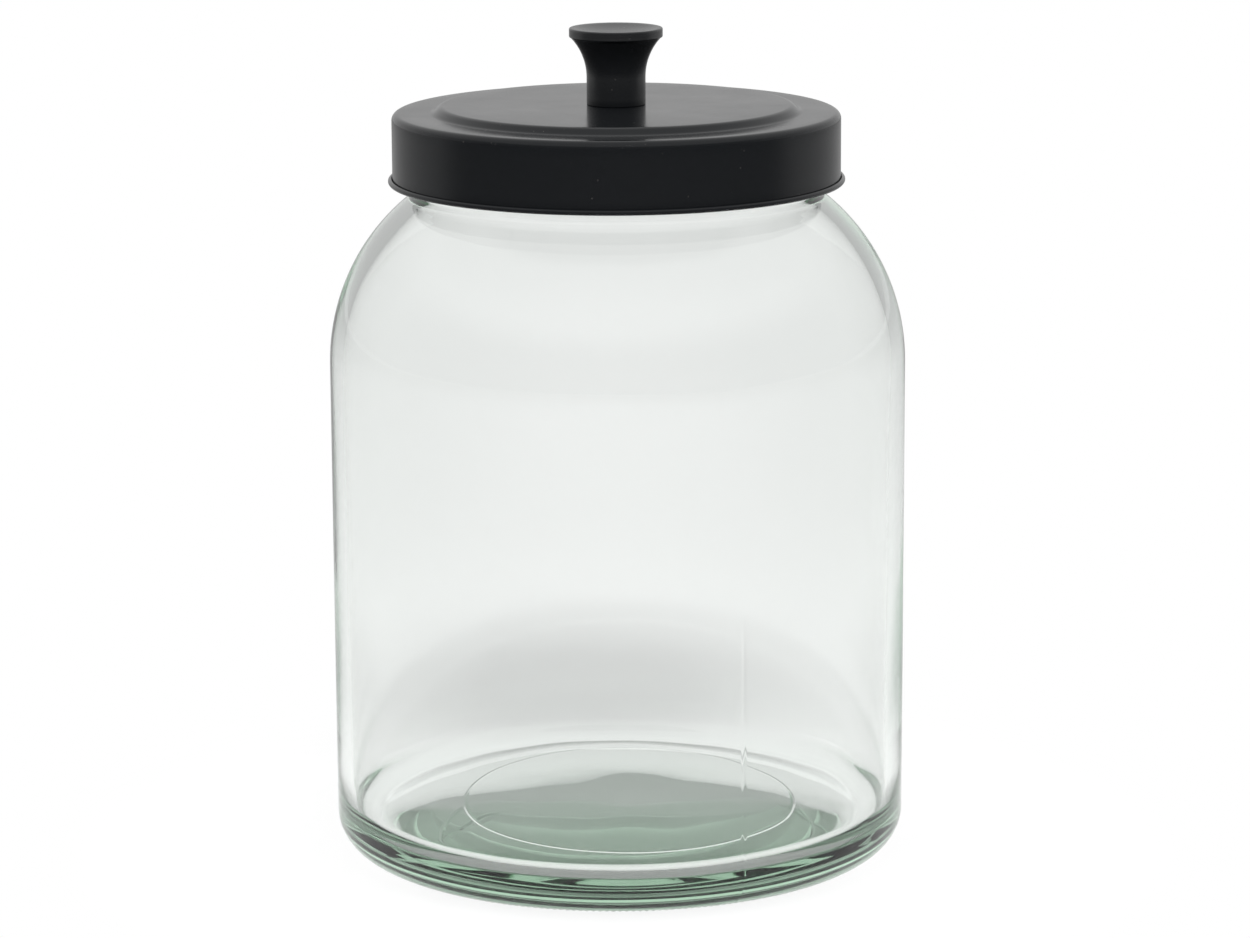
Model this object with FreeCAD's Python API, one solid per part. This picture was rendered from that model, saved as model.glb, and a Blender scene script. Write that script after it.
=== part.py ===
import FreeCAD, Part
import math
import os

# A large storage jar: a moulded glass body that stands on a ring at its heel,
# a pressed sheet-metal lid that drops over its rolled rim, and a turned knob.
# Every piece is a body of revolution about +Z.  The origin is the centre of
# the base, on the plane that the jar stands on.  All sizes are millimetres.

# ---- driving sizes: glass body ----
body_diameter = 200.0           # outside of the straight wall
jar_height = 259.3              # standing plane to the top of the glass rim
wall = 5.6                      # straight wall and shoulder
heel_radius = 13.0              # outside corner between wall and base
bearing_width = 6.0             # flat ring that touches the table
push_up = 3.0                   # rise of the underside at its centre
floor_crown = 24.0              # height of the inside floor at its centre
floor_dome_radius = 300.0       # the inside floor is this part of a sphere
inner_heel_radius = 9.0         # inside corner between floor and wall
shoulder_radius = 73.0          # outside arc that draws the body in
neck_diameter = 141.6           # outside of the short neck
neck_wall = 4.8
neck_height = 28.0              # top of the shoulder's arc to the rim's top
neck_blend = 4.0                # hollow curve between shoulder and neck
bore_blend = 7.0                # the same inside, where the bore opens out
rim_roll = 4.8                  # radius of the rolled rim
rim_root = 1.5                  # hollow curve under the rolled rim
rim_inner_round = 2.0           # inside edge of the mouth

# ---- driving sizes: lid ----
sheet = 0.4                     # thickness of the pressed sheet
lid_clearance = 1.4             # rolled rim to the inside of the skirt
skirt_depth = 23.4              # lid's shoulder to the centre of the curl
skirt_corner = 2.2              # bend at the top of the skirt, mid-sheet
ledge_width = 10.5              # flat ledge that rests on the glass rim
panel_rise = 2.4                # raised centre panel above the ledge
panel_bend = 3.0                # each bend of the step, mid-sheet
panel_slope = 40.0              # slope of the step, degrees
curl_bend = 0.75                # rolled edge, mid-sheet radius
curl_turn = 285.0               # how far the edge is rolled up, degrees
screw_hole = 4.4                # diameter of the hole for the knob's screw

# ---- driving sizes: knob ----
knob_height = 26.4
knob_diameter = 32.2
stem_diameter = 20.3
stem_height = 9.4               # straight part of the stem
knob_rim_height = 3.3           # upright edge round the top
knob_edge = 0.5                 # rounded corners of the top rim
dish_lip = 1.5                  # width of the lip round the dished top
dish_depth = 1.6
pilot_diameter = 4.1            # blind hole for the screw
pilot_depth = 15.0

# ---- sizes that follow ----
body_radius = body_diameter / 2
inside_radius = body_radius - wall
neck_radius = neck_diameter / 2
bore_radius = neck_radius - neck_wall
shoulder_centre_r = body_radius - shoulder_radius
shoulder_reach = neck_radius - shoulder_centre_r
shoulder_rise = math.sqrt(shoulder_radius ** 2 - shoulder_reach ** 2)
shoulder_centre_z = jar_height - neck_height - shoulder_rise
rim_outer_radius = neck_radius + rim_roll
skirt_radius = rim_outer_radius + lid_clearance + sheet / 2
ledge_level = jar_height + sheet / 2
panel_level = ledge_level + panel_rise
panel_top = panel_level + sheet / 2


def point(r, z):
    return FreeCAD.Vector(r, 0, z)


def line(start, end):
    return Part.LineSegment(point(*start), point(*end)).toShape()


def arc(centre, radius, start_deg, end_deg):
    """Arc in the r, z plane, from one angle to another about its centre."""
    def at(angle_deg):
        angle = math.radians(angle_deg)
        return point(centre[0] + radius * math.cos(angle), centre[1] + radius * math.sin(angle))
    return Part.Arc(at(start_deg), at((start_deg + end_deg) / 2), at(end_deg)).toShape()


def toward(centre, target):
    """Direction from a centre to a target, in degrees."""
    return math.degrees(math.atan2(target[1] - centre[1], target[0] - centre[0]))


def stepped(start, direction_deg, distance):
    angle = math.radians(direction_deg)
    return (start[0] + distance * math.cos(angle), start[1] + distance * math.sin(angle))


def blend_centre(arc_centre, arc_radius, line_r, blend_radius, above):
    """Centre of the hollow curve that joins a round to an upright line at line_r."""
    across = line_r + blend_radius - arc_centre[0]
    rise = math.sqrt((arc_radius + blend_radius) ** 2 - across ** 2)
    return (line_r + blend_radius, arc_centre[1] + (rise if above else -rise))


def revolved(edges):
    """Turn a closed outline in the r, z plane into a solid about the Z axis."""
    outline = Part.Wire(Part.__sortEdges__(edges))
    turned = Part.Face(outline).revolve(FreeCAD.Vector(0, 0, 0), FreeCAD.Vector(0, 0, 1), 360)
    return turned if turned.ShapeType == "Solid" else Part.Solid(turned.Shells[0])


def glass_jar():
    """One moulded piece: pushed-up base, domed floor, wall, shoulder, neck, rolled rim."""
    # underside: a shallow dome inside the flat bearing ring
    bearing_outer = body_radius - heel_radius
    bearing_inner = bearing_outer - bearing_width
    underside_radius = (bearing_inner ** 2 + push_up ** 2) / (2 * push_up)
    underside_centre = (0.0, push_up - underside_radius)
    underside_edge = toward(underside_centre, (bearing_inner, 0.0))

    # outside of the shoulder and neck
    shoulder_centre = (shoulder_centre_r, shoulder_centre_z)
    neck_curve = blend_centre(shoulder_centre, shoulder_radius, neck_radius, neck_blend, True)
    shoulder_end = toward(shoulder_centre, neck_curve)
    rim_centre = (neck_radius, jar_height - rim_roll)
    root_curve = blend_centre(rim_centre, rim_roll, neck_radius, rim_root, False)
    root_end = toward(rim_centre, root_curve)

    # inside of the mouth, neck and shoulder
    lip_centre = (bore_radius + rim_inner_round, jar_height - rim_inner_round)
    inner_shoulder_radius = shoulder_radius - wall
    bore_curve = blend_centre(shoulder_centre, inner_shoulder_radius, bore_radius, bore_blend, True)
    inner_shoulder_end = toward(shoulder_centre, bore_curve)

    # inside floor: a dome, and a hollow corner that carries it up into the wall
    dome_centre = (0.0, floor_crown - floor_dome_radius)
    corner_r = inside_radius - inner_heel_radius
    corner_reach = floor_dome_radius + inner_heel_radius
    corner = (corner_r, dome_centre[1] + math.sqrt(corner_reach ** 2 - corner_r ** 2))
    dome_edge = toward(dome_centre, corner)

    edges = [
        arc(underside_centre, underside_radius, 90, underside_edge),
        line((bearing_inner, 0), (bearing_outer, 0)),
        arc((bearing_outer, heel_radius), heel_radius, -90, 0),
        line((body_radius, heel_radius), (body_radius, shoulder_centre_z)),
        arc(shoulder_centre, shoulder_radius, 0, shoulder_end),
        arc(neck_curve, neck_blend, shoulder_end + 180, 180),
        line((neck_radius, neck_curve[1]), (neck_radius, root_curve[1])),
        arc(root_curve, rim_root, 180, root_end + 180),
        arc(rim_centre, rim_roll, root_end, 90),
        line((neck_radius, jar_height), (lip_centre[0], jar_height)),
        arc(lip_centre, rim_inner_round, 90, 180),
        line((bore_radius, lip_centre[1]), (bore_radius, bore_curve[1])),
        arc(bore_curve, bore_blend, 180, inner_shoulder_end + 180),
        arc(shoulder_centre, inner_shoulder_radius, inner_shoulder_end, 0),
        line((inside_radius, shoulder_centre_z), (inside_radius, corner[1])),
        arc(corner, inner_heel_radius, 0, dome_edge - 180),
        arc(dome_centre, floor_dome_radius, dome_edge, 90),
        line((0, floor_crown), (0, push_up)),
    ]
    return revolved(edges)


class SheetSide:
    """One side of a bent sheet: straight runs and tangent bends, set off from mid-sheet.

    A positive offset lies to the left of the direction of travel, and a
    positive turn bends to the left, so both sides follow the same list.
    """

    def __init__(self, r, z, heading_deg, offset):
        self.offset = offset
        self.heading = heading_deg
        self.place = stepped((r, z), heading_deg + 90, offset)
        self.start = self.place
        self.edges = []

    def run(self, length):
        end = stepped(self.place, self.heading, length)
        self.edges.append(line(self.place, end))
        self.place = end

    def bend(self, mid_radius, turn_deg):
        side = 1 if turn_deg > 0 else -1
        radius = mid_radius - side * self.offset
        centre = stepped(self.place, self.heading + 90 * side, radius)
        start_angle = self.heading - 90 * side
        self.edges.append(arc(centre, radius, start_angle, start_angle + turn_deg))
        self.heading += turn_deg
        self.place = stepped(centre, start_angle + turn_deg, radius)


def lid():
    """Pressed lid: raised panel, ledge, skirt and an outward curl, all one sheet."""
    slope = math.radians(panel_slope)
    slope_run = (panel_rise - 2 * panel_bend * (1 - math.cos(slope))) / math.sin(slope)
    step_width = 2 * panel_bend * math.sin(slope) + slope_run * math.cos(slope)
    panel_edge = skirt_radius - skirt_corner - ledge_width - step_width

    sides = []
    for offset in (sheet / 2, -sheet / 2):
        side = SheetSide(screw_hole / 2, panel_level, 0, offset)
        side.run(panel_edge - screw_hole / 2)
        side.bend(panel_bend, -panel_slope)
        side.run(slope_run)
        side.bend(panel_bend, panel_slope)
        side.run(ledge_width)
        side.bend(skirt_corner, -90)
        side.run(skirt_depth - skirt_corner - sheet / 2)
        side.bend(curl_bend, curl_turn)
        sides.append(side)

    outer, inner = sides
    ends = [line(outer.start, inner.start), line(outer.place, inner.place)]
    return revolved(outer.edges + inner.edges + ends)


def knob():
    """Turned knob: straight stem, hollow flare, upright rim, dished top, blind screw hole."""
    base = panel_top
    top = base + knob_height
    stem = stem_diameter / 2
    rim = knob_diameter / 2
    flare_start = base + stem_height
    flare_end = top - knob_rim_height
    flare_rise = flare_end - flare_start
    flare_reach = rim - knob_edge - stem
    flare_radius = (flare_rise ** 2 + flare_reach ** 2) / (2 * flare_reach)
    flare_centre = (stem + flare_radius, flare_start)
    flare_angle = toward(flare_centre, (rim - knob_edge, flare_end)) % 360

    dish_edge = rim - knob_edge - dish_lip
    dish_radius = (dish_edge ** 2 + dish_depth ** 2) / (2 * dish_depth)
    dish_centre = (0.0, top - dish_depth + dish_radius)
    dish_angle = toward(dish_centre, (dish_edge, top))

    pilot = pilot_diameter / 2
    pilot_top = base + pilot_depth
    edges = [
        line((pilot, base), (stem, base)),
        line((stem, base), (stem, flare_start)),
        arc(flare_centre, flare_radius, 180, flare_angle),
        arc((rim - knob_edge, flare_end + knob_edge), knob_edge, -90, 0),
        line((rim, flare_end + knob_edge), (rim, top - knob_edge)),
        arc((rim - knob_edge, top - knob_edge), knob_edge, 0, 90),
        line((rim - knob_edge, top), (dish_edge, top)),
        arc(dish_centre, dish_radius, dish_angle, -90),
        line((0, top - dish_depth), (0, pilot_top)),
        line((0, pilot_top), (pilot, pilot_top)),
        line((pilot, pilot_top), (pilot, base)),
    ]
    return revolved(edges)


os.makedirs("parts", exist_ok=True)
for name, make in (("glass_jar", glass_jar), ("lid", lid), ("knob", knob)):
    shape = make()
    shape.exportStep("parts/" + name + ".step")
    box = shape.optimalBoundingBox()
    print(name, shape.ShapeType, "valid" if shape.isValid() else "NOT VALID",
          "volume %.1f cm3" % (shape.Volume / 1000),
          "z %.2f to %.2f" % (box.ZMin, box.ZMax), "radius %.2f" % box.XMax)
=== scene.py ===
# %% [markdown]
# # A big glass storage jar with a black metal lid
#
# The jar is three separate things: a moulded glass body, a lid pressed from thin sheet, and a
# turned knob screwed to the lid.  All of them are round, so nearly every shape here is an outline
# turned about the upright axis.  The engineer's solids are loaded first, because they say how
# large each piece is and where it sits.  We then dress them with finer meshes and real finishes.

import math

import bmesh
import bpy
from mathutils import Matrix, Vector, noise


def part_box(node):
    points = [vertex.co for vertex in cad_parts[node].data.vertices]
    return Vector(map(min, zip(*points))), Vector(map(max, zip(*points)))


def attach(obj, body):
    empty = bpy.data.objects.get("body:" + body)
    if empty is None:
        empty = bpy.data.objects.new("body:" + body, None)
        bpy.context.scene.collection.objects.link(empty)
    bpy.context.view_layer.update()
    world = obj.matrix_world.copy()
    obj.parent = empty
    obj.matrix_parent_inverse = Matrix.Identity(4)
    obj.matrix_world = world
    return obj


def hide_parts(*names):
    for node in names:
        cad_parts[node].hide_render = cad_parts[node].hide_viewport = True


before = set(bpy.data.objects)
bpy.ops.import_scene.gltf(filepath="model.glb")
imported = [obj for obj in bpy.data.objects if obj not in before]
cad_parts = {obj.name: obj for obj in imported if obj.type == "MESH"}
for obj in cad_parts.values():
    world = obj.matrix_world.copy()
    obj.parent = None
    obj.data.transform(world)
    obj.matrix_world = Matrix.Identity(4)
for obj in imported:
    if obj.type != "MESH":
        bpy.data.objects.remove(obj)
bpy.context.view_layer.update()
jar_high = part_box("glass_jar")[1]
lid_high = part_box("lid")[1]
knob_low, knob_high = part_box("knob")

MM = 0.001
TURN = 2 * math.pi

# %% [markdown]
# ## Drawing an outline
#
# An outline is a walk in the plane that holds the axis: go straight, bend, go straight again.
# A bend that starts in the direction we already face leaves no crease.  Each step is a mesh
# operator on the last point: extruding it makes a straight run, and spinning it about a centre
# makes a round bend.  A typed list of points would give the same line, but nobody could then
# tell a radius from a slip of the hand.
#
# Every point also carries a small number, its side, 0 outside and 1 inside.  The spin copies it
# along, and later it tells the inner wall of the glass from the outer one.

# %% The outline walker
class Outline:
    """A walk through the r, z plane.  Heading 0 is outward, 90 is up, and left turns are positive."""

    def __init__(self, r, z, heading):
        self.bm = bmesh.new()
        self.sides = self.bm.verts.layers.int.new("side")
        self.tip = self.bm.verts.new((r, 0, z))
        self.heading = heading
        self.side = 0
        self.mark([self.tip])

    def mark(self, points):
        for point in points:
            point[self.sides] = self.side

    def ahead(self, distance, turn=0.0):
        angle = math.radians(self.heading + turn)
        return Vector((math.cos(angle), 0, math.sin(angle))) * distance

    def run(self, length, steps=1):
        for _ in range(steps):
            grown = bmesh.ops.extrude_vert_indiv(self.bm, verts=[self.tip])
            self.tip = grown["verts"][0]
            self.tip.co += self.ahead(length / steps)
            self.mark([self.tip])

    def run_to(self, r, z, steps):
        goal = Vector((r, 0, z)) - self.tip.co
        self.heading = math.degrees(math.atan2(goal.z, goal.x))
        self.run(goal.length, steps)

    def bend(self, radius, turn, steps):
        known = set(self.bm.verts)
        centre = self.tip.co + self.ahead(radius, 90 if turn > 0 else -90)
        grown = bmesh.ops.spin(self.bm, geom=[self.tip], cent=centre, axis=(0, -1, 0),
                               angle=math.radians(turn), steps=steps, use_merge=False)
        self.tip = [part for part in grown["geom_last"] if isinstance(part, bmesh.types.BMVert)][0]
        self.heading += turn
        self.mark([point for point in self.bm.verts if point not in known])


# %% [markdown]
# ## Turning the outline
#
# A full spin about the upright axis closes on itself when its last step is merged into its first,
# so no seam is left.  Points on the axis are spun into a heap of copies.  They are merged first,
# and only then are the normals worked out again, because a spin can turn a shape inside out.

# %% Turning an outline into a closed piece
def turned(outline, name, around):
    bm = outline.bm
    bmesh.ops.spin(bm, geom=bm.verts[:] + bm.edges[:], cent=(0, 0, 0), axis=(0, 0, 1),
                   angle=TURN, steps=around, use_merge=True)
    bmesh.ops.remove_doubles(bm, verts=bm.verts[:], dist=0.001 * MM)
    bmesh.ops.recalc_face_normals(bm, faces=bm.faces[:])
    open_edges = [edge for edge in bm.edges if not edge.is_manifold]
    print(name, "has", len(bm.faces), "faces and", len(open_edges), "open edges")
    return bm


# %% [markdown]
# ## From a bmesh to a piece
#
# A bmesh is only a workbench.  The finished shape is copied into a mesh, which gets smooth faces
# and a material and becomes an object.  The object stays at the origin, because its place is
# already in its points.  A piece that dresses one of the engineer's solids takes over for it, and
# all pieces ride on the one body there is, root.

# %% Making a finished piece
def finish_piece(bm, name, material, node=None):
    for face in bm.faces:
        face.smooth = True
    mesh = bpy.data.meshes.new(name)
    bm.to_mesh(mesh)
    bm.free()
    mesh.materials.append(material)
    piece = bpy.data.objects.new(name, mesh)
    bpy.context.collection.objects.link(piece)
    if node:
        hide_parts(node)
    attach(piece, "root")
    print(name, "is finished with", len(mesh.polygons), "faces")
    return piece


# %% [markdown]
# ## Small tools for building materials
#
# A material is a graph of nodes.  The helpers below only save typing.  `join` puts a number
# straight into a socket, and links another node's output to it.  `math_of` adds one calculation.

# %% Helpers for nodes and links
def new_material(name):
    material = bpy.data.materials.new(name)
    material.use_nodes = True
    tree = material.node_tree
    return material, tree, tree.nodes["Principled BSDF"]


def join(tree, value, socket):
    if isinstance(value, bpy.types.NodeSocket):
        tree.links.new(value, socket)
    else:
        socket.default_value = value


def math_of(tree, operation, *values):
    node = tree.nodes.new("ShaderNodeMath")
    node.operation = operation
    for value, socket in zip(values, node.inputs):
        join(tree, value, socket)
    return node.outputs[0]


# %% [markdown]
# `level` is the one used most.  While the value goes from start to end, its result goes from low
# to high with soft ends, and it stays there outside that span.  `noise_of` adds a noise that can
# be stretched along an axis, and `object_place` says where on the object a point is, so that a
# pattern stays put on its piece.

# %% Helpers for masks and patterns
def level(tree, value, start, end, low=0.0, high=1.0):
    node = tree.nodes.new("ShaderNodeMapRange")
    node.interpolation_type = "SMOOTHSTEP"
    for name, number in (("Value", value), ("From Min", start), ("From Max", end),
                         ("To Min", low), ("To Max", high)):
        join(tree, number, node.inputs[name])
    return node.outputs[0]


def noise_of(tree, place, scale, detail=2.0, roughness=0.5, squash=(1, 1, 1)):
    spread = tree.nodes.new("ShaderNodeMapping")
    join(tree, place, spread.inputs["Vector"])
    spread.inputs["Scale"].default_value = squash
    node = tree.nodes.new("ShaderNodeTexNoise")
    join(tree, spread.outputs[0], node.inputs["Vector"])
    join(tree, scale, node.inputs["Scale"])
    join(tree, detail, node.inputs["Detail"])
    join(tree, roughness, node.inputs["Roughness"])
    return node.outputs["Fac"]


def object_place(tree):
    return tree.nodes.new("ShaderNodeTexCoord").outputs["Object"]


# %% [markdown]
# ## Shared effects
#
# The lid and the knob wear the same kind of paint, and both the paint and the zinc of the screw
# pick up a little handling.  Such an effect is a node group with named sockets: it is built once,
# and each material places it with its own numbers.  A group gives back only masks and heights
# here, and the shader that uses them stays in the material.

# %% Group builder
def new_group(name, inputs, outputs):
    group = bpy.data.node_groups.new(name, "ShaderNodeTree")
    for label, start in inputs:
        kind = "NodeSocketVector" if start is None else "NodeSocketFloat"
        socket = group.interface.new_socket(label, in_out="INPUT", socket_type=kind)
        if start is not None:
            socket.default_value = start
    for label in outputs:
        group.interface.new_socket(label, in_out="OUTPUT", socket_type="NodeSocketFloat")
    return group, group.nodes.new("NodeGroupInput").outputs, group.nodes.new("NodeGroupOutput").inputs


def place_group(tree, group, **values):
    node = tree.nodes.new("ShaderNodeGroup")
    node.node_tree = group
    for label, value in values.items():
        join(tree, value, node.inputs[label.replace("_", " ").capitalize()])
    return node.outputs


# %% [markdown]
# Sprayed paint never dries quite flat.  It keeps fine dimples, called orange peel, and a slower
# unevenness where the coat went on thicker.  The group gives a height for a Bump node and a
# slow mask that varies the gloss.

# %% Paint skin group
drift_share = 0.25
paint_skin, given, wanted = new_group(
    "paint_skin", [("Place", None), ("Dimple size", 900.0), ("Drift size", 40.0)], ["Height", "Drift"])
dimples = noise_of(paint_skin, given["Place"], given["Dimple size"], detail=1.0)
drift = noise_of(paint_skin, given["Place"], given["Drift size"], detail=3.0, roughness=0.6)
join(paint_skin, math_of(paint_skin, "MULTIPLY_ADD", drift, drift_share, dimples), wanted["Height"])
join(paint_skin, drift, wanted["Drift"])
print("groups:", [group.name for group in bpy.data.node_groups])

# %% [markdown]
# Dust settles as scattered specks, and fingers leave soft smears.  A Voronoi pattern gives one
# centre per cell, so a small distance to it is a speck.  A second, slower noise lets specks
# through only here and there.  Smears are stretched noise with most of it cut away.

# %% Handling group
handling, given, wanted = new_group(
    "handling", [("Place", None), ("Speck size", 0.06), ("Speck density", 420.0), ("Smear size", 26.0)],
    ["Specks", "Smears"])
soft_edge = 1.6
patch_scale = 90.0
cells = handling.nodes.new("ShaderNodeTexVoronoi")
join(handling, given["Place"], cells.inputs["Vector"])
join(handling, given["Speck density"], cells.inputs["Scale"])
far = math_of(handling, "MULTIPLY", given["Speck size"], soft_edge)
speck = level(handling, cells.outputs["Distance"], start=given["Speck size"], end=far, low=1.0, high=0.0)
rare = level(handling, noise_of(handling, given["Place"], patch_scale), start=0.55, end=0.65)
join(handling, math_of(handling, "MULTIPLY", speck, rare), wanted["Specks"])
smear = noise_of(handling, given["Place"], given["Smear size"], detail=4.0, squash=(1, 1, 0.35))
join(handling, level(handling, smear, start=0.52, end=0.75), wanted["Smears"])
print("groups:", [group.name for group in bpy.data.node_groups])

# %% [markdown]
# ## Glass
#
# Jar glass is soda glass: nearly clear, with a faint green from traces of iron.  The green shows
# where light travels far through it, in the thick base and along the edges.  So the colour is
# not painted on the surface.  It is a volume that soaks up a little red and blue on the way, and
# the surface itself stays colourless.
#
# A pressed and blown jar is not optically flat.  Its inner wall, shaped by air alone, ripples
# slowly.  Those ripples bend light, so they are real geometry further down.  What is left for
# the surface is handling: soft smears, a little less sharp than the clean glass between them.
# Light crosses glass many times, so its material is kept to one noise.

# %% Clear glass
glass_index = 1.52
glass_green = (0.41, 0.70, 0.49, 1)
tint_density = 7.0
smear_scale = 16.0
smear_roughness = 0.008

glass, tree, shader = new_material("clear_soda_glass")
place = object_place(tree)
shader.inputs["Base Color"].default_value = (1, 1, 1, 1)
shader.inputs["IOR"].default_value = glass_index
shader.inputs["Transmission Weight"].default_value = 1.0
smears = noise_of(tree, place, smear_scale, detail=2.0, squash=(1, 1, 0.4))
smear_mask = level(tree, smears, start=0.58, end=0.75, low=0.0, high=smear_roughness)
join(tree, smear_mask, shader.inputs["Roughness"])
tint = tree.nodes.new("ShaderNodeVolumeAbsorption")
tint.inputs["Color"].default_value = glass_green
tint.inputs["Density"].default_value = tint_density
tree.links.new(tint.outputs["Volume"], tree.nodes["Material Output"].inputs["Volume"])
kept = [round(math.exp(-tint_density * (1 - part) * 0.2), 2) for part in glass_green[:3]]
print("of red, green and blue light, 200 mm of glass lets through", kept)

# %% [markdown]
# ## Black paint
#
# The lid and the knob are sprayed satin black.  Satin means a soft highlight, with neither the
# hard edge of gloss paint nor the even grey of matt paint.  Roughness sets how broad it is, and
# the specular level how strong.  The lid's coat is the smoother and weaker one, and the knob's is
# a little rougher but throws back more light.  The paint is a touch glossier where it was
# handled, and a few pale specks of dust keep the black from looking like a hole.

# %% Values of the black paint
black = (0.0044, 0.0052, 0.0062, 1)
dust = (0.055, 0.052, 0.048, 1)
dust_cover = 0.6
dust_dullness = 0.3
drift_spread = 0.10
smear_shine = 0.03
dimple_depth = 0.05 * MM
print("black reflects", black[1], "and dust", dust[1], "of the green light")

# %% [markdown]
# The coat is one function, called once for each piece.  The drift makes parts of it duller or
# glossier by the same amount, smears make it glossier, and a speck of dust is dull and pale.

# %% Satin black paint for the lid and the knob
def black_paint(name, roughness, specular, dimple_size, bump_strength):
    paint, tree, shader = new_material(name)
    place = object_place(tree)
    skin = place_group(tree, paint_skin, place=place, dimple_size=dimple_size, drift_size=38.0)
    marks = place_group(tree, handling, place=place, speck_size=0.07, speck_density=380.0, smear_size=30.0)
    shader.inputs["Specular IOR Level"].default_value = specular
    dull = math_of(tree, "MULTIPLY_ADD", skin["Drift"], drift_spread, roughness - drift_spread / 2)
    dull = math_of(tree, "MULTIPLY_ADD", marks["Smears"], -smear_shine, dull)
    dull = math_of(tree, "MULTIPLY_ADD", marks["Specks"], dust_dullness, dull)
    join(tree, dull, shader.inputs["Roughness"])
    colour = tree.nodes.new("ShaderNodeMix")
    colour.data_type = "RGBA"
    colour.inputs["A"].default_value = black
    colour.inputs["B"].default_value = dust
    join(tree, math_of(tree, "MULTIPLY", marks["Specks"], dust_cover), colour.inputs["Factor"])
    join(tree, colour.outputs["Result"], shader.inputs["Base Color"])
    bump = tree.nodes.new("ShaderNodeBump")
    bump.inputs["Strength"].default_value = bump_strength
    bump.inputs["Distance"].default_value = dimple_depth
    join(tree, skin["Height"], bump.inputs["Height"])
    join(tree, bump.outputs[0], shader.inputs["Normal"])
    print(name, "nodes:", len(tree.nodes))
    return paint


lid_paint = black_paint("satin_black_lid", roughness=0.18, specular=0.36,
                        dimple_size=1300.0, bump_strength=0.10)
knob_paint = black_paint("satin_black_knob", roughness=0.25, specular=0.80,
                         dimple_size=1500.0, bump_strength=0.20)

# %% [markdown]
# ## The glass body
#
# A real jar like this is pressed and then blown into a mould.  The mould gives the outside, and
# the air inside decides the rest, so the wall is even while the floor stays thick.  We could
# thicken a single surface with a solidify step, but the floor is nearly four times as thick as
# the wall, so the outline goes round both sides instead: out along the underside, up the
# outside, over the lip, and down the inside to the middle of the floor.
#
# The sizes come from the frame where the solid's box shows them, and the others are a jar
# maker's own sizes, named before use.

# %% Sizes of the glass
body_radius = jar_high[0]
rim_top = jar_high[2]
wall = 5.6 * MM
heel_radius = 13 * MM
bearing_width = 6 * MM
push_up = 3 * MM
floor_crown = 24 * MM
floor_dome_radius = 300 * MM
inner_heel_radius = 9 * MM
shoulder_radius = 73 * MM
neck_radius = 70.8 * MM
neck_wall = 4.8 * MM
neck_height = 28 * MM
neck_blend = 4 * MM
bore_blend = 7 * MM
rim_roll = 4.8 * MM
rim_root = 1.5 * MM
lip_round = 2 * MM

inside_radius = body_radius - wall
bore_radius = neck_radius - neck_wall
bearing_inner = body_radius - heel_radius - bearing_width
print("glass radius, mm:", round(body_radius / MM, 2), "inside:", round(inside_radius / MM, 2))

# %% [markdown]
# The shoulder is a large round that ends against the upright neck in a small hollow.  Both bends
# turn by the same angle, one way and then back, and a right triangle between their centres gives
# it.  The inner side does the same with its own radii.

# %% Where the rounds meet
shoulder_centre_r = body_radius - shoulder_radius


def shared_turn(round_radius, hollow_radius, line_r):
    reach = line_r + hollow_radius - shoulder_centre_r
    return math.degrees(math.acos(reach / (round_radius + hollow_radius)))


def rise_of(round_radius, hollow_radius, line_r):
    reach = line_r + hollow_radius - shoulder_centre_r
    return math.sqrt((round_radius + hollow_radius) ** 2 - reach ** 2)


neck_reach = neck_radius - shoulder_centre_r
shoulder_z = rim_top - neck_height - math.sqrt(shoulder_radius ** 2 - neck_reach ** 2)
outer_turn = shared_turn(shoulder_radius, neck_blend, neck_radius)
inner_turn = shared_turn(shoulder_radius - wall, bore_blend, bore_radius)
print("shoulder starts at z mm", round(shoulder_z / MM, 1), "and turns", round(outer_turn, 1))

# %% [markdown]
# ### Outside of the glass
#
# The underside is pushed up a little so that the jar stands on a ring.  The mould's bottom plate
# leaves a fine round ridge in it, a bit off centre, which shows through the thick floor.  The
# ridge is three very short runs in the outline, and it is moved off centre after the spin.
#
# Smooth shading blends the direction of the faces across each of them.  A wide face beside a
# small ridge would carry its tilt far out, so a holding point sits close on either side of every
# sudden change.

# %% Outline of the underside
ridge_radius = 55.8 * MM
ridge_width = 1.0 * MM
ridge_height = 0.12 * MM
ridge_flat = 0.2 * MM
hold = 0.4 * MM
between_rings = 70 * MM

jar = Outline(0, push_up, 0)
underside_radius = (bearing_inner ** 2 + push_up ** 2) / (2 * push_up)


def underside_z(r):
    return push_up - underside_radius + math.sqrt(underside_radius ** 2 - r ** 2)


ridge_in = ridge_radius - ridge_width / 2
ridge_out = ridge_radius + ridge_width / 2
for goal_r, lift, steps in ((ridge_in - hold, 0, 7), (ridge_in, 0, 1),
                            (ridge_radius - ridge_flat, ridge_height, 1),
                            (ridge_radius + ridge_flat, ridge_height, 1), (ridge_out, 0, 1),
                            (ridge_out + hold, 0, 1), (between_rings, 0, 2),
                            (bearing_inner - hold, 0, 2), (bearing_inner, 0, 1)):
    jar.run_to(goal_r, underside_z(goal_r) + lift, steps)
jar.heading = 0
jar.run(hold)
jar.run(bearing_width - hold, 2)
print("standing ring from r mm", round(bearing_inner / MM, 1), "to", round(jar.tip.co.x / MM, 1))

# %% [markdown]
# From the standing ring the heel bends up into the wall, and the wall runs straight up to the
# shoulder.  On top of the neck sits a round bead, which the lid rests on.  A small hollow leads
# into it, and its turn follows from the two radii.

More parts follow.
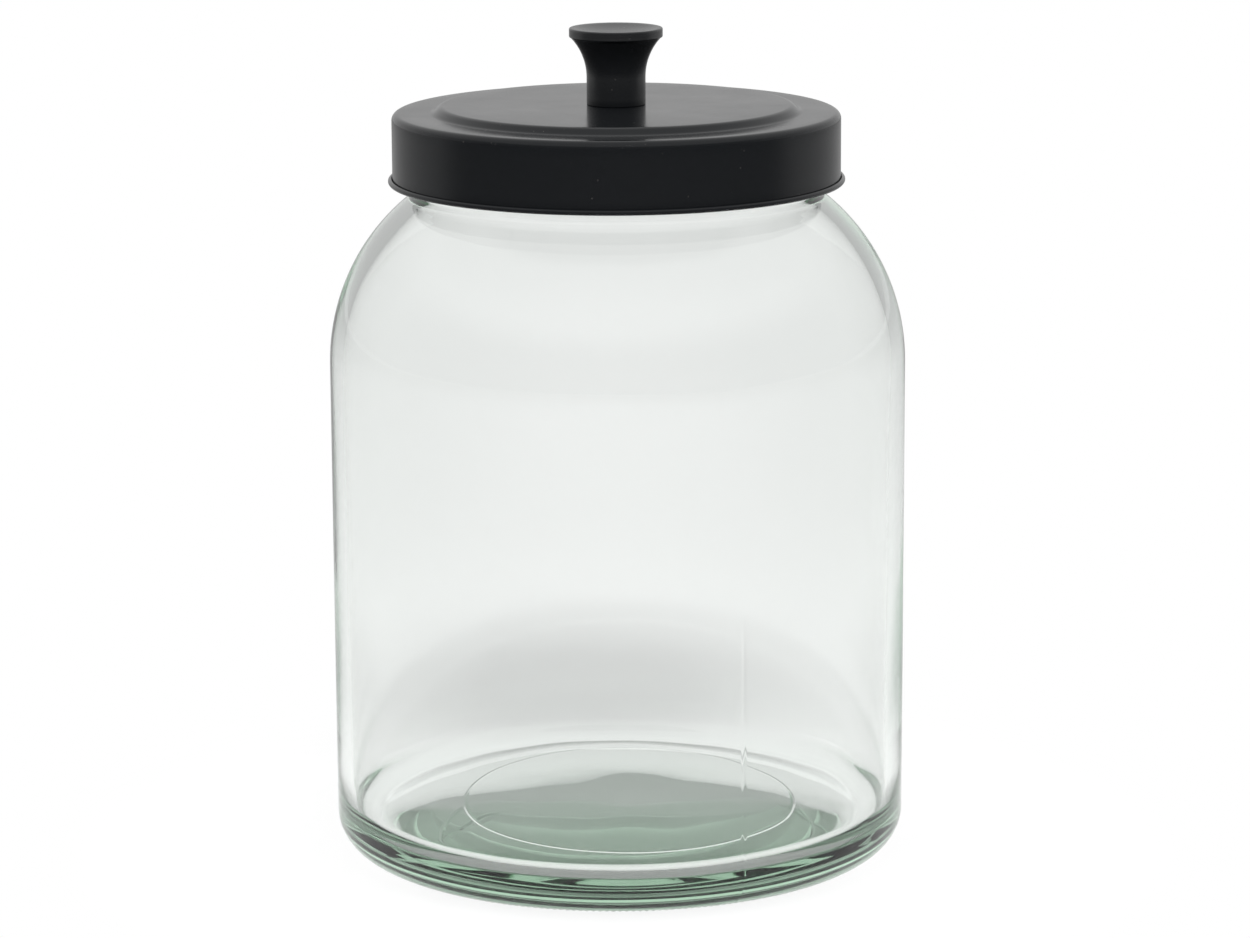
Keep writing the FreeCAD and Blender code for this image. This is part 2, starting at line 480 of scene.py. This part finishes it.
# %% Outline of the heel, the wall and the rim
jar.bend(heel_radius, 90, 14)
jar.run_to(body_radius, shoulder_z, 16)
jar.bend(shoulder_radius, outer_turn, 24)
jar.bend(neck_blend, -outer_turn, 5)
root_drop = math.sqrt((rim_roll + rim_root) ** 2 - rim_root ** 2)
jar.run_to(neck_radius, rim_top - rim_roll - root_drop, 2)
root_turn = 90 - math.degrees(math.atan2(rim_root, root_drop))
jar.bend(rim_root, -root_turn, 3)
jar.bend(rim_roll, 90 + root_turn, 10)
print("rim reaches z mm", round(jar.tip.co.z / MM, 2), "of", round(rim_top / MM, 2))

# %% [markdown]
# ### Inside of the glass
#
# From here on the walk is on side 1.  It goes down the bore, follows the shoulder at the wall's
# distance, and turns in at the heel onto the floor, which is a shallow dome with the crown in
# the middle.

# %% Outline of the inside
jar.side = 1
jar.run_to(bore_radius + lip_round, rim_top, 1)
jar.bend(lip_round, 90, 4)
jar.run_to(bore_radius, shoulder_z + rise_of(shoulder_radius - wall, bore_blend, bore_radius), 2)
jar.bend(bore_blend, inner_turn, 5)
jar.bend(shoulder_radius - wall, -inner_turn, 24)
corner_r = inside_radius - inner_heel_radius
dome_centre_z = floor_crown - floor_dome_radius
corner_z = dome_centre_z + math.sqrt((floor_dome_radius + inner_heel_radius) ** 2 - corner_r ** 2)
jar.run_to(inside_radius, corner_z, 18)
dome_turn = math.degrees(math.asin(corner_r / (floor_dome_radius + inner_heel_radius)))
jar.bend(inner_heel_radius, -(90 + dome_turn), 10)
jar.bend(floor_dome_radius, dome_turn, 20)
jar.tip.co.x = 0
print("outline has", len(jar.bm.verts), "points and ends at z mm", round(jar.tip.co.z / MM, 2))

# %% [markdown]
# ### Turning the glass, and what the mould left on it
#
# The outline is turned in 256 steps, which is fine enough for a smooth edge.  The mould also cuts
# little grip ribs round the standing ring, one per column.  They need points between the
# columns, so the few rings they cross have their edges cut in half, and the new points move up.

# %% Turned glass with grip ribs
around = 256
rib_depth = 0.35 * MM
rib_inner = body_radius - heel_radius + 0.5 * MM
rib_outer = body_radius - heel_radius + 6.5 * MM
same_ring = 0.01 * MM

glass_bm = turned(jar, "glass body", around)
sides = glass_bm.verts.layers.int["side"]


def radius_of(point):
    return math.hypot(point.co.x, point.co.y)


def in_rib_band(point):
    return rib_inner < radius_of(point) < rib_outer and point.co.z < heel_radius / 3


ring_edges = [edge for edge in glass_bm.edges if all(in_rib_band(point) for point in edge.verts)
              and abs(radius_of(edge.verts[0]) - radius_of(edge.verts[1])) < same_ring]
halved = bmesh.ops.subdivide_edges(glass_bm, edges=ring_edges, cuts=1)
ribbed = [part for part in halved["geom_inner"] if isinstance(part, bmesh.types.BMVert)]
bmesh.ops.translate(glass_bm, verts=ribbed, vec=(0, 0, rib_depth))
print("grip ribs:", around, "in", len(ribbed), "points")

# %% [markdown]
# The bottom plate sat a little to one side, so the fine ring in the underside is moved with it.
# Rings further out follow less and less, so that the standing ring stays where it is.

# %% Off-centre bottom plate
plate_shift = 3 * MM
plate_edge = 62 * MM
for point in glass_bm.verts:
    if point[sides] == 0 and point.co.z < 2 * push_up and radius_of(point) < bearing_inner:
        past = max(0.0, radius_of(point) - plate_edge) / (bearing_inner - plate_edge)
        point.co.x += plate_shift * (1 - past)
print("bottom plate moved by mm", round(plate_shift / MM, 1))

# %% [markdown]
# The mould opens in two halves, and each joint leaves a hair-thin upright line, front right and
# opposite.  The columns are far too wide for it.  So three upright planes through the axis cut
# the outer wall close together, and the points on the middle one move out.

# %% Mould seams
seam_height = 0.12 * MM
seam_half_width = 0.3
seam_reach = 0.8
seam_foot = 2 * MM
seam_columns = (-46.5, 81.5)
column = 360 / around


def seam_strip(angle):
    """The faces of the outer wall next to an upright line at that angle, with their edges and points."""
    strip = []
    for face in glass_bm.faces:
        middle = face.calc_center_median()
        off = (math.degrees(math.atan2(middle.y, middle.x)) - angle + 180) % 360 - 180
        outside = all(point[sides] == 0 for point in face.verts)
        if abs(off) < seam_reach and outside and middle.z > seam_foot:
            strip.append(face)
    edges = {edge for face in strip for edge in face.edges}
    points = {point for face in strip for point in face.verts}
    return strip + list(edges) + list(points)


for angle in (number * column for number in seam_columns):
    for turn in (-seam_half_width, seam_half_width, 0):
        normal = Matrix.Rotation(math.radians(angle + turn), 4, "Z") @ Vector((0, 1, 0))
        cut = bmesh.ops.bisect_plane(glass_bm, geom=seam_strip(angle), dist=0.0001 * MM,
                                     plane_co=(0, 0, 0), plane_no=normal)
    line = [part for part in cut["geom_cut"] if isinstance(part, bmesh.types.BMVert)]
    for point in line:
        point.co += Vector((point.co.x, point.co.y, 0)).normalized() * seam_height
    print("seam at", round(angle, 1), "degrees with", len(line), "points")

# %% [markdown]
# ### Uneven walls
#
# Air does not blow glass evenly.  Slow waves run down the inner wall, longer than they are wide,
# and the floor has gentle hollows.  Each inner point moves along its own normal by a smooth
# noise, which fades to nothing at the mouth and stays weak at the heel.  These waves bend what is
# seen through the wall, and they are why real glass looks alive and a perfect tube does not.

# %% Sizes of the waves
wall_wave = 0.25 * MM
floor_wave = 0.30 * MM
slow_across, slow_along = 22, 9
quick_across, quick_along = 60, 20
quick_start = 7
quick_share = 0.3
still_mouth = 20 * MM
mouth_fade = 30 * MM
floor_top = 40 * MM
floor_fade = 20 * MM
heel_reach = 25 * MM
heel_calm = 0.8


def clamped(value):
    return min(1.0, max(0.0, value))


def waviness(at):
    """A slow wave with a weaker quick one on it.  Both are stretched along the height."""
    slow = noise.noise(Vector((at.x * slow_across, at.y * slow_across, at.z * slow_along)))
    quick = noise.noise(Vector((at.x * quick_across + quick_start, at.y * quick_across,
                                at.z * quick_along)))
    return slow + quick_share * quick


print("wave at the crown of the floor:", round(waviness(Vector((0, 0, floor_crown))), 3), "of its depth")

# %% [markdown]
# Only points with side 1 move, so the outer wall keeps the mould's shape.  The normals have to be
# worked out first, because every point follows its own.

# %% Waves in the inner wall and floor
largest = 0.0
glass_bm.normal_update()
for point in glass_bm.verts:
    if point[sides] == 0:
        continue
    at = point.co
    fade = clamped((rim_top - still_mouth - at.z) / mouth_fade)
    depth = wall_wave + (floor_wave - wall_wave) * clamped((floor_top - at.z) / floor_fade)
    at_heel = max(0.0, 1 - math.hypot(radius_of(point) - corner_r, at.z - corner_z) / heel_reach)
    shift = point.normal * fade * depth * (1 - heel_calm * at_heel) * waviness(at)
    point.co += shift
    largest = max(largest, shift.length)
print("inner points moved by up to mm", round(largest / MM, 2))

# %% [markdown]
# The glass is finished.  Light from a lamp falls through clear walls, and only the lid and the
# knob shade the table.  A path tracer would find that light very slowly, by luck, so the glass is
# simply left out of the lamps' shadows.

# %% The finished glass body
glass_bm.normal_update()
glass_piece = finish_piece(glass_bm, "glass_body", glass, node="glass_jar")
glass_piece.visible_shadow = False

# %% [markdown]
# ## The lid
#
# The lid is one disc of thin sheet, pressed over a die.  It has a raised panel in the middle, a
# ledge round it, a straight skirt, and an edge curled outwards so that it does not cut.  One
# sheet side is walked twice, half a thickness out and half a thickness in, and the two walks are
# joined at their ends.  Solidify would do it too, but this way every bend keeps a true inner and
# outer radius.

# %% Sizes of the lid
sheet = 0.4 * MM
hole_radius = 2.2 * MM
panel_rise = 2.4 * MM
panel_bend = 3 * MM
panel_slope = 40
ledge_width = 10.5 * MM
skirt_corner = 2.2 * MM
skirt_depth = 23.4 * MM
curl_bend = 0.75 * MM
curl_turn = 285
skirt_radius = lid_high[0] - curl_bend - sheet / 2 - curl_bend
slope_angle = math.radians(panel_slope)
slope_run = (panel_rise - 2 * panel_bend * (1 - math.cos(slope_angle))) / math.sin(slope_angle)
step_width = 2 * panel_bend * math.sin(slope_angle) + slope_run * math.cos(slope_angle)
panel_radius = skirt_radius - skirt_corner - ledge_width - step_width
print("lid skirt radius mm", round(skirt_radius / MM, 2), "panel radius mm", round(panel_radius / MM, 2))

# %% [markdown]
# The walk for one side takes an offset, which makes each outward bend larger and each inward bend
# smaller by the same amount.  So both sides stay the sheet's thickness apart all the way round.

# %% One side of the sheet
def lid_side(offset):
    side = Outline(hole_radius, lid_high[2] - sheet / 2 + offset, 0)
    side.run(panel_radius - hole_radius, 8)
    side.bend(panel_bend + offset, -panel_slope, 7)
    side.run(slope_run, 1)
    side.bend(panel_bend - offset, panel_slope, 7)
    side.run(ledge_width, 3)
    side.bend(skirt_corner + offset, -90, 9)
    side.run(skirt_depth - skirt_corner - sheet / 2, 6)
    side.bend(curl_bend - offset, curl_turn, 22)
    return side


upper, lower = lid_side(sheet / 2), lid_side(-sheet / 2)
print("lid edge ends at r mm", round(upper.tip.co.x / MM, 2), "z mm", round(upper.tip.co.z / MM, 2))

# %% [markdown]
# The two walks come together in one mesh, and an edge closes each end: one at the screw hole and
# one inside the curl.

# %% The pressed lid
both = bmesh.new()
for side in (upper, lower):
    scrap = bpy.data.meshes.new("scrap")
    side.bm.to_mesh(scrap)
    both.from_mesh(scrap)
    bpy.data.meshes.remove(scrap)
loose = [point for point in both.verts if len(point.link_edges) == 1]
ends = sorted(loose, key=lambda point: point.co.x)
both.edges.new(ends[:2])
both.edges.new(ends[2:])
lower.bm.free()
upper.bm.free()
upper.bm = both
finish_piece(turned(upper, "lid", around), "pressed_lid", lid_paint,
             node="lid")

# %% [markdown]
# ## The knob
#
# The knob is turned from bar: a stem, a flare that opens upwards, and a rim with a shallow dish
# in its top, where a fingertip rests.  The flare leaves the stem without a crease, so its radius
# follows from how far it rises and how far it reaches.  A blind hole from below takes the screw.

# %% Sizes of the knob
stem_radius = 10.15 * MM
stem_height = 9.4 * MM
stem_edge = 0.3 * MM
knob_rim = 3.3 * MM
knob_edge = 0.5 * MM
dish_lip = 1.5 * MM
dish_depth = 1.6 * MM
pilot_radius = 2.05 * MM
pilot_depth = 15 * MM
knob_radius = knob_high[0]
flare_rise = knob_high[2] - knob_rim - knob_low[2] - stem_height
flare_reach = knob_radius - knob_edge - stem_radius
flare_radius = (flare_rise ** 2 + flare_reach ** 2) / (2 * flare_reach)
dish_edge = knob_radius - knob_edge - dish_lip
dish_radius = (dish_edge ** 2 + dish_depth ** 2) / (2 * dish_depth)
print("flare radius mm", round(flare_radius / MM, 1), "dish radius mm", round(dish_radius / MM, 1))

# %% [markdown]
# The walk starts at the end of the screw hole, goes down it, out along the foot, up the stem and
# the flare, over the rim, and back along the dish to the axis.

# %% The turned knob
knob = Outline(0, knob_low[2] + pilot_depth, 0)
knob.run(pilot_radius)
knob.heading = -90
knob.run(pilot_depth, 3)
knob.heading = 0
knob.run(stem_radius - stem_edge - pilot_radius, 3)
knob.bend(stem_edge, 90, 3)
knob.run(stem_height - stem_edge, 4)
knob.bend(flare_radius, -math.degrees(math.asin(flare_rise / flare_radius)), 18)
knob.heading = 0
knob.bend(knob_edge, 90, 4)
knob.run(knob_rim - 2 * knob_edge, 3)
knob.bend(knob_edge, 90, 4)
knob.run(dish_lip, 2)
dish_turn = math.degrees(math.asin(dish_edge / dish_radius))
knob.heading = 180 + dish_turn
knob.bend(dish_radius, -dish_turn, 12)
knob.tip.co.x = 0
print("middle of the dish is at z mm", round(knob.tip.co.z / MM, 2))
finish_piece(turned(knob, "knob", around // 2), "turned_knob", knob_paint,
             node="knob")

# %% [markdown]
# ## The screw under the lid
#
# The knob is held by one screw from inside, with a washer so that the thin sheet does not tear.
# It is a plain bought part, so it is only made here and not among the engineer's solids.  Its
# outline is a pan head, a washer and a shank in one walk.

# %% The screw and its washer
head_radius = 4 * MM
head_round = 1.6 * MM
head_height = 2.3 * MM
washer_radius = 6 * MM
washer_thickness = 1 * MM
washer_edge = 0.2 * MM
shank_radius = 1.95 * MM
shank_short = 1 * MM
sheet_underside = lid_high[2] - sheet

screw = Outline(0, sheet_underside - washer_thickness - head_height, 0)
screw.run(head_radius - head_round, 4)
screw.bend(head_round, 90, 6)
screw.run(head_height - head_round, 1)
screw.heading = 0
screw.run(washer_radius - head_radius - washer_edge, 1)
screw.bend(washer_edge, 90, 2)
screw.run(washer_thickness - washer_edge, 1)
screw.heading = 180
screw.run(washer_radius - shank_radius, 1)
screw.heading = 90
screw.run(pilot_depth - shank_short, 1)
screw.heading = 180
screw.run(shank_radius, 1)
screw.tip.co.x = 0
screw_bm = turned(screw, "screw", 48)

# %% [markdown]
# The cross for the screwdriver is pressed into the head.  The faces of four arms and of the
# middle are picked by where they lie, extruded as one region and moved up into the metal.  The
# first faces stay behind as a lid over the hollow, so they are deleted.

# %% The cross in the head
arm_half_angle = 15
arm_length = 1.9 * MM
cross_middle = 0.6 * MM
cross_depth = 1.1 * MM
facing_down = -0.99
head_middle_z = sheet_underside - washer_thickness - head_height / 2

arms = []
for face in screw_bm.faces:
    middle = face.calc_center_median()
    reach = math.hypot(middle.x, middle.y)
    angle = math.degrees(math.atan2(middle.y, middle.x)) % 90
    along = min(angle, 90 - angle) < arm_half_angle and reach < arm_length
    on_head = face.normal.z < facing_down and middle.z < head_middle_z
    if on_head and (along or reach < cross_middle):
        arms.append(face)
pressed = bmesh.ops.extrude_face_region(screw_bm, geom=arms)
pushed_in = [part for part in pressed["geom"] if isinstance(part, bmesh.types.BMVert)]
bmesh.ops.translate(screw_bm, vec=(0, 0, cross_depth), verts=pushed_in)
bmesh.ops.delete(screw_bm, geom=arms, context="FACES_ONLY")
print("cross arms pressed in:", len(arms), "faces")

# %% [markdown]
# The screw is zinc plated: a soft grey metal, never mirror bright.  Its plating crystals differ a
# little in grey.  Handling makes its gloss uneven, so the roughness follows the same handling
# group as the paint, with smaller marks.

# %% Zinc plate
dark_zinc = (0.50, 0.51, 0.52, 1)
pale_zinc = (0.66, 0.66, 0.64, 1)
crystal_scale = 2600.0
zinc_roughness = 0.30
smear_dullness = 0.15

zinc, tree, shader = new_material("zinc_plate")
place = object_place(tree)
marks = place_group(tree, handling, place=place, speck_size=0.05, speck_density=900.0, smear_size=240.0)
shader.inputs["Metallic"].default_value = 1.0
crystals = noise_of(tree, place, crystal_scale, detail=2.0)
plating = tree.nodes.new("ShaderNodeMix")
plating.data_type = "RGBA"
plating.inputs["A"].default_value = dark_zinc
plating.inputs["B"].default_value = pale_zinc
join(tree, crystals, plating.inputs["Factor"])
join(tree, plating.outputs["Result"], shader.inputs["Base Color"])
uneven = math_of(tree, "MULTIPLY_ADD", marks["Smears"], smear_dullness, zinc_roughness)
join(tree, uneven, shader.inputs["Roughness"])
finish_piece(screw_bm, "zinc_screw", zinc)

# %% [markdown]
# ## The table
#
# The table is one large flat grid.  It lies a hair below the jar, because two faces in exactly
# one place flicker in a render.

# %% The table's mesh
table_half = 6
table_gap = 0.2 * MM
table_bm = bmesh.new()
bmesh.ops.create_grid(table_bm, x_segments=1, y_segments=1, size=table_half)
bmesh.ops.translate(table_bm, verts=table_bm.verts[:], vec=(0, 0, -table_gap))
table_mesh = bpy.data.meshes.new("table")
table_bm.to_mesh(table_mesh)
table_bm.free()
table = bpy.data.objects.new("table", table_mesh)
bpy.context.collection.objects.link(table)
print("table is", round(table.dimensions.x, 1), "m wide")

# %% [markdown]
# The table is made of two things, mixed: pale paint, which takes shadows, and an even white glow,
# which does not.  Light Path says what kind of ray has arrived, so each kind can get its own mix.
# The first kind is straight rays.  They come from the camera, past the jar or through clear
# glass, and were never mirrored on the way.  These are the ones that should see a white sweep.

# %% Rays that see the white sweep
def straight_rays(tree):
    """1 for the camera's rays and for rays that went through glass without being mirrored."""
    path = tree.nodes.new("ShaderNodeLightPath")
    seen = math_of(tree, "MAXIMUM", path.outputs["Is Camera Ray"], path.outputs["Is Transmission Ray"])
    unmirrored = math_of(tree, "LESS_THAN", path.outputs["Glossy Depth"], 0.5)
    return math_of(tree, "MULTIPLY", seen, unmirrored), path


# %% [markdown]
# ### How white the table looks to straight rays
#
# Close to the jar the table is paint and shows the soft shade round the foot.  Further out it
# turns white, so table and wall read as one with no horizon.  Rays that come through the glass
# see less of the white just behind the jar, so some of the lid's shadow stays visible through
# the wall.  Under the jar the white glow stays on as painted light over the jar's own shadow, or
# the clear floor would look like a lid over a dark hole.  The glow is weaker under the front of
# the jar, so more of the paint's shade shows there.

# %% Even white round the jar
jar_foot = 0.085
foot_shade_starts, foot_shade_ends = 0.095, 0.20
shadow_ends, sweep_starts = 0.22, 0.65
least_white, most_white = 0.38, 0.95
front_white = 0.60

table_paint, tree, shader = new_material("pale_table")
tree.nodes.remove(shader)
spot = tree.nodes.new("ShaderNodeSeparateXYZ")
join(tree, object_place(tree), spot.inputs[0])
across, back = spot.outputs["X"], spot.outputs["Y"]
straight, path = straight_rays(tree)
distance = math_of(tree, "SQRT", math_of(tree, "ADD", math_of(tree, "POWER", across, 2.0),
                                         math_of(tree, "POWER", back, 2.0)))
beyond = level(tree, distance, start=shadow_ends, end=sweep_starts, low=least_white, high=most_white)
beyond = math_of(tree, "MAXIMUM", beyond, path.outputs["Is Camera Ray"])
beside = math_of(tree, "MULTIPLY", level(tree, distance, start=foot_shade_starts, end=foot_shade_ends),
                 beyond)
# Painted light: under the jar the white glow covers the jar's shadow, and it is weaker at the front.
under = math_of(tree, "MULTIPLY", level(tree, back, start=-0.09, end=-0.03, low=front_white),
                level(tree, distance, start=jar_foot, end=0.14, low=1.0, high=0.0))
evenness = math_of(tree, "MAXIMUM", beside, under)
print("white share behind the jar, seen through it:", least_white, "to", most_white)

# %% [markdown]
# ### How dark the table looks to other rays
#
# Shiny things also mirror the table.  A studio is dark beyond the light, and this dark is what
# draws the glass and the black paint.  So for mirrored rays the table is painted darker away from
# the jar, most of all in front: a painted shade that stands in for the studio's dark.  A ray that
# is bent by slightly rough glass counts as glossy too, so it is left out here.
#
# Rays guided along inside the thick base end on the table under the jar, where little light gets
# in.  For them the table there is painted darker, a painted shade for the jar's own shadow.

# %% Paint darker in mirrors and under the jar, a painted shade
paint_white = 0.88
mirror_loss = 0.68
back_share = 0.48
guided_loss = 0.60
# Painted shade: in mirrors the table darkens away from the jar, most of all in front.
away = math_of(tree, "MULTIPLY", level(tree, distance, start=0.11, end=0.30),
               level(tree, back, start=-0.3, end=0.5, low=1.0, high=back_share))
reflected = math_of(tree, "MULTIPLY", path.outputs["Is Glossy Ray"],
                    math_of(tree, "SUBTRACT", 1.0, path.outputs["Is Transmission Ray"]))
mirrored = math_of(tree, "MULTIPLY", reflected, away)
shade = math_of(tree, "MULTIPLY_ADD", mirrored, -mirror_loss, paint_white)
# Painted shade: guided rays see the table under the jar darker.
guided = math_of(tree, "MULTIPLY", path.outputs["Is Transmission Ray"],
                 math_of(tree, "GREATER_THAN", path.outputs["Glossy Depth"], 0.5))
guided = math_of(tree, "MULTIPLY", guided,
                 level(tree, distance, start=0.10, end=0.15, low=guided_loss, high=0.0))
shade = math_of(tree, "MULTIPLY", shade, math_of(tree, "SUBTRACT", 1.0, guided))
print("paint in a mirror, darkest:", round(paint_white - mirror_loss, 2))

# %% [markdown]
# ### Putting the table's two looks together
#
# The paint and the white meet in a Mix Shader.  Seen through the glass the white is painted a
# little dimmer than beside it, a painted shade for the light that real walls keep back.

# %% The table's finish
glass_loss = 0.14
colour = tree.nodes.new("ShaderNodeCombineColor")
for channel in ("Red", "Green", "Blue"):
    join(tree, shade, colour.inputs[channel])
paint = tree.nodes.new("ShaderNodeBsdfDiffuse")
join(tree, colour.outputs[0], paint.inputs["Color"])
white = tree.nodes.new("ShaderNodeEmission")
through_glass = math_of(tree, "SUBTRACT", 1.0, path.outputs["Is Camera Ray"])
# Painted shade: the white seen through the glass is made dimmer outside the jar's foot.
dimmer = math_of(tree, "MULTIPLY", through_glass,
                 level(tree, distance, start=jar_foot, end=0.13, low=0.0, high=glass_loss))
join(tree, math_of(tree, "SUBTRACT", 1.0, dimmer), white.inputs["Strength"])
either = tree.nodes.new("ShaderNodeMixShader")
join(tree, math_of(tree, "MULTIPLY", straight, evenness), either.inputs["Fac"])
tree.links.new(paint.outputs[0], either.inputs[1])
tree.links.new(white.outputs[0], either.inputs[2])
tree.links.new(either.outputs[0], tree.nodes["Material Output"].inputs["Surface"])
table_mesh.materials.append(table_paint)
print("table nodes:", len(tree.nodes))

# %% [markdown]
# ## The room
#
# The world is the studio round the table.  The camera sees it as pure white, and nearly so
# through the glass.  Glass and paint mirror a room with a broad bright ceiling, and walls that
# are dimmer, most of all in front.  A world material reads Generated as the direction of view.

# %% The studio world
front_wall, back_wall, ceiling = 0.22, 0.66, 0.74
wall_loss = 0.3
sweep_front, sweep_back = 0.80, 0.92

world = bpy.data.worlds.new("studio")
bpy.context.scene.world = world
world.use_nodes = True
tree = world.node_tree
aim = tree.nodes.new("ShaderNodeSeparateXYZ")
join(tree, tree.nodes.new("ShaderNodeTexCoord").outputs["Generated"], aim.inputs[0])
straight, path = straight_rays(tree)
walls = level(tree, aim.outputs["Y"], start=-0.6, end=0.6, low=front_wall, high=back_wall)
dimming = math_of(tree, "MULTIPLY_ADD", path.outputs["Is Transmission Ray"], -wall_loss, 1.0)
walls = math_of(tree, "MULTIPLY", walls, dimming)
room = level(tree, aim.outputs["Z"], start=0.30, end=0.60, low=walls, high=ceiling)
sweep = level(tree, aim.outputs["Y"], start=-0.1, end=0.8, low=sweep_front, high=sweep_back)
sweep = math_of(tree, "MAXIMUM", sweep, path.outputs["Is Camera Ray"])
shown = tree.nodes.new("ShaderNodeMix")
join(tree, straight, shown.inputs["Factor"])
join(tree, room, shown.inputs["A"])
join(tree, sweep, shown.inputs["B"])
background = tree.nodes["Background"]
background.inputs["Color"].default_value = (1, 1, 1, 1)
join(tree, shown.outputs["Result"], background.inputs["Strength"])
print("world nodes:", len(tree.nodes))

# %% [markdown]
# ## The lamps
#
# The bright ceiling already gives most of the light.  One lamp above the camera throws the lid's
# soft shadow backwards, and two weak ones at the sides model the knob.  They are kept out of
# mirrors and glass, because real ones would shine through large sheets of tracing paper and
# leave no hard shape in the glass.

# %% Soft lamps
lit_middle = Vector((0, 0, 0.15))


def soft_lamp(name, place, width, height, power):
    data = bpy.data.lights.new(name, "AREA")
    data.shape = "RECTANGLE"
    data.size = width
    data.size_y = height
    data.energy = power
    lamp = bpy.data.objects.new(name, data)
    lamp.location = place
    lamp.rotation_euler = (lit_middle - Vector(place)).to_track_quat("-Z", "Y").to_euler()
    lamp.visible_glossy = False
    lamp.visible_transmission = False
    bpy.context.collection.objects.link(lamp)
    print(name, power, "W")


soft_lamp("over_the_camera", (0.1, -1.2, 1.6), width=0.5, height=0.5, power=28)
soft_lamp("left_window", (-1.6, -0.8, 1.3), width=0.7, height=1.1, power=3)
soft_lamp("right_window", (1.6, -1.0, 1.2), width=0.6, height=1.0, power=3)

# %% [markdown]
# ## The camera
#
# A long lens from a metre and a half away, a little above the jar and tilted down on it, gives
# the calm look of a catalogue picture: the upright walls stay nearly upright.
#
# Light bounces back and forth in a thick glass floor like in a light guide.  Cut short, it turns
# black there, so the rays may bounce more often than usual.

# %% Camera and view
eye_place = (0.0024, -1.5305, 0.4617)
looking_down = 12.10
roll_angle = -0.286
lens = 128.7
enough_bounces = 40

camera = bpy.data.cameras.new("camera")
camera.sensor_width = 36
camera.lens = lens
eye = bpy.data.objects.new("camera", camera)
tilt = Matrix.Rotation(math.radians(90 - looking_down), 4, "X")
roll = Matrix.Rotation(math.radians(roll_angle), 4, "Z")
eye.matrix_world = Matrix.Translation(eye_place) @ tilt @ roll
bpy.context.collection.objects.link(eye)
bpy.context.scene.camera = eye
bpy.context.scene.view_settings.view_transform = "Standard"
for kind in ("max_bounces", "transmission_bounces", "glossy_bounces"):
    setattr(bpy.context.scene.cycles, kind, enough_bounces)
print("camera at", [round(value, 3) for value in eye.matrix_world.translation])
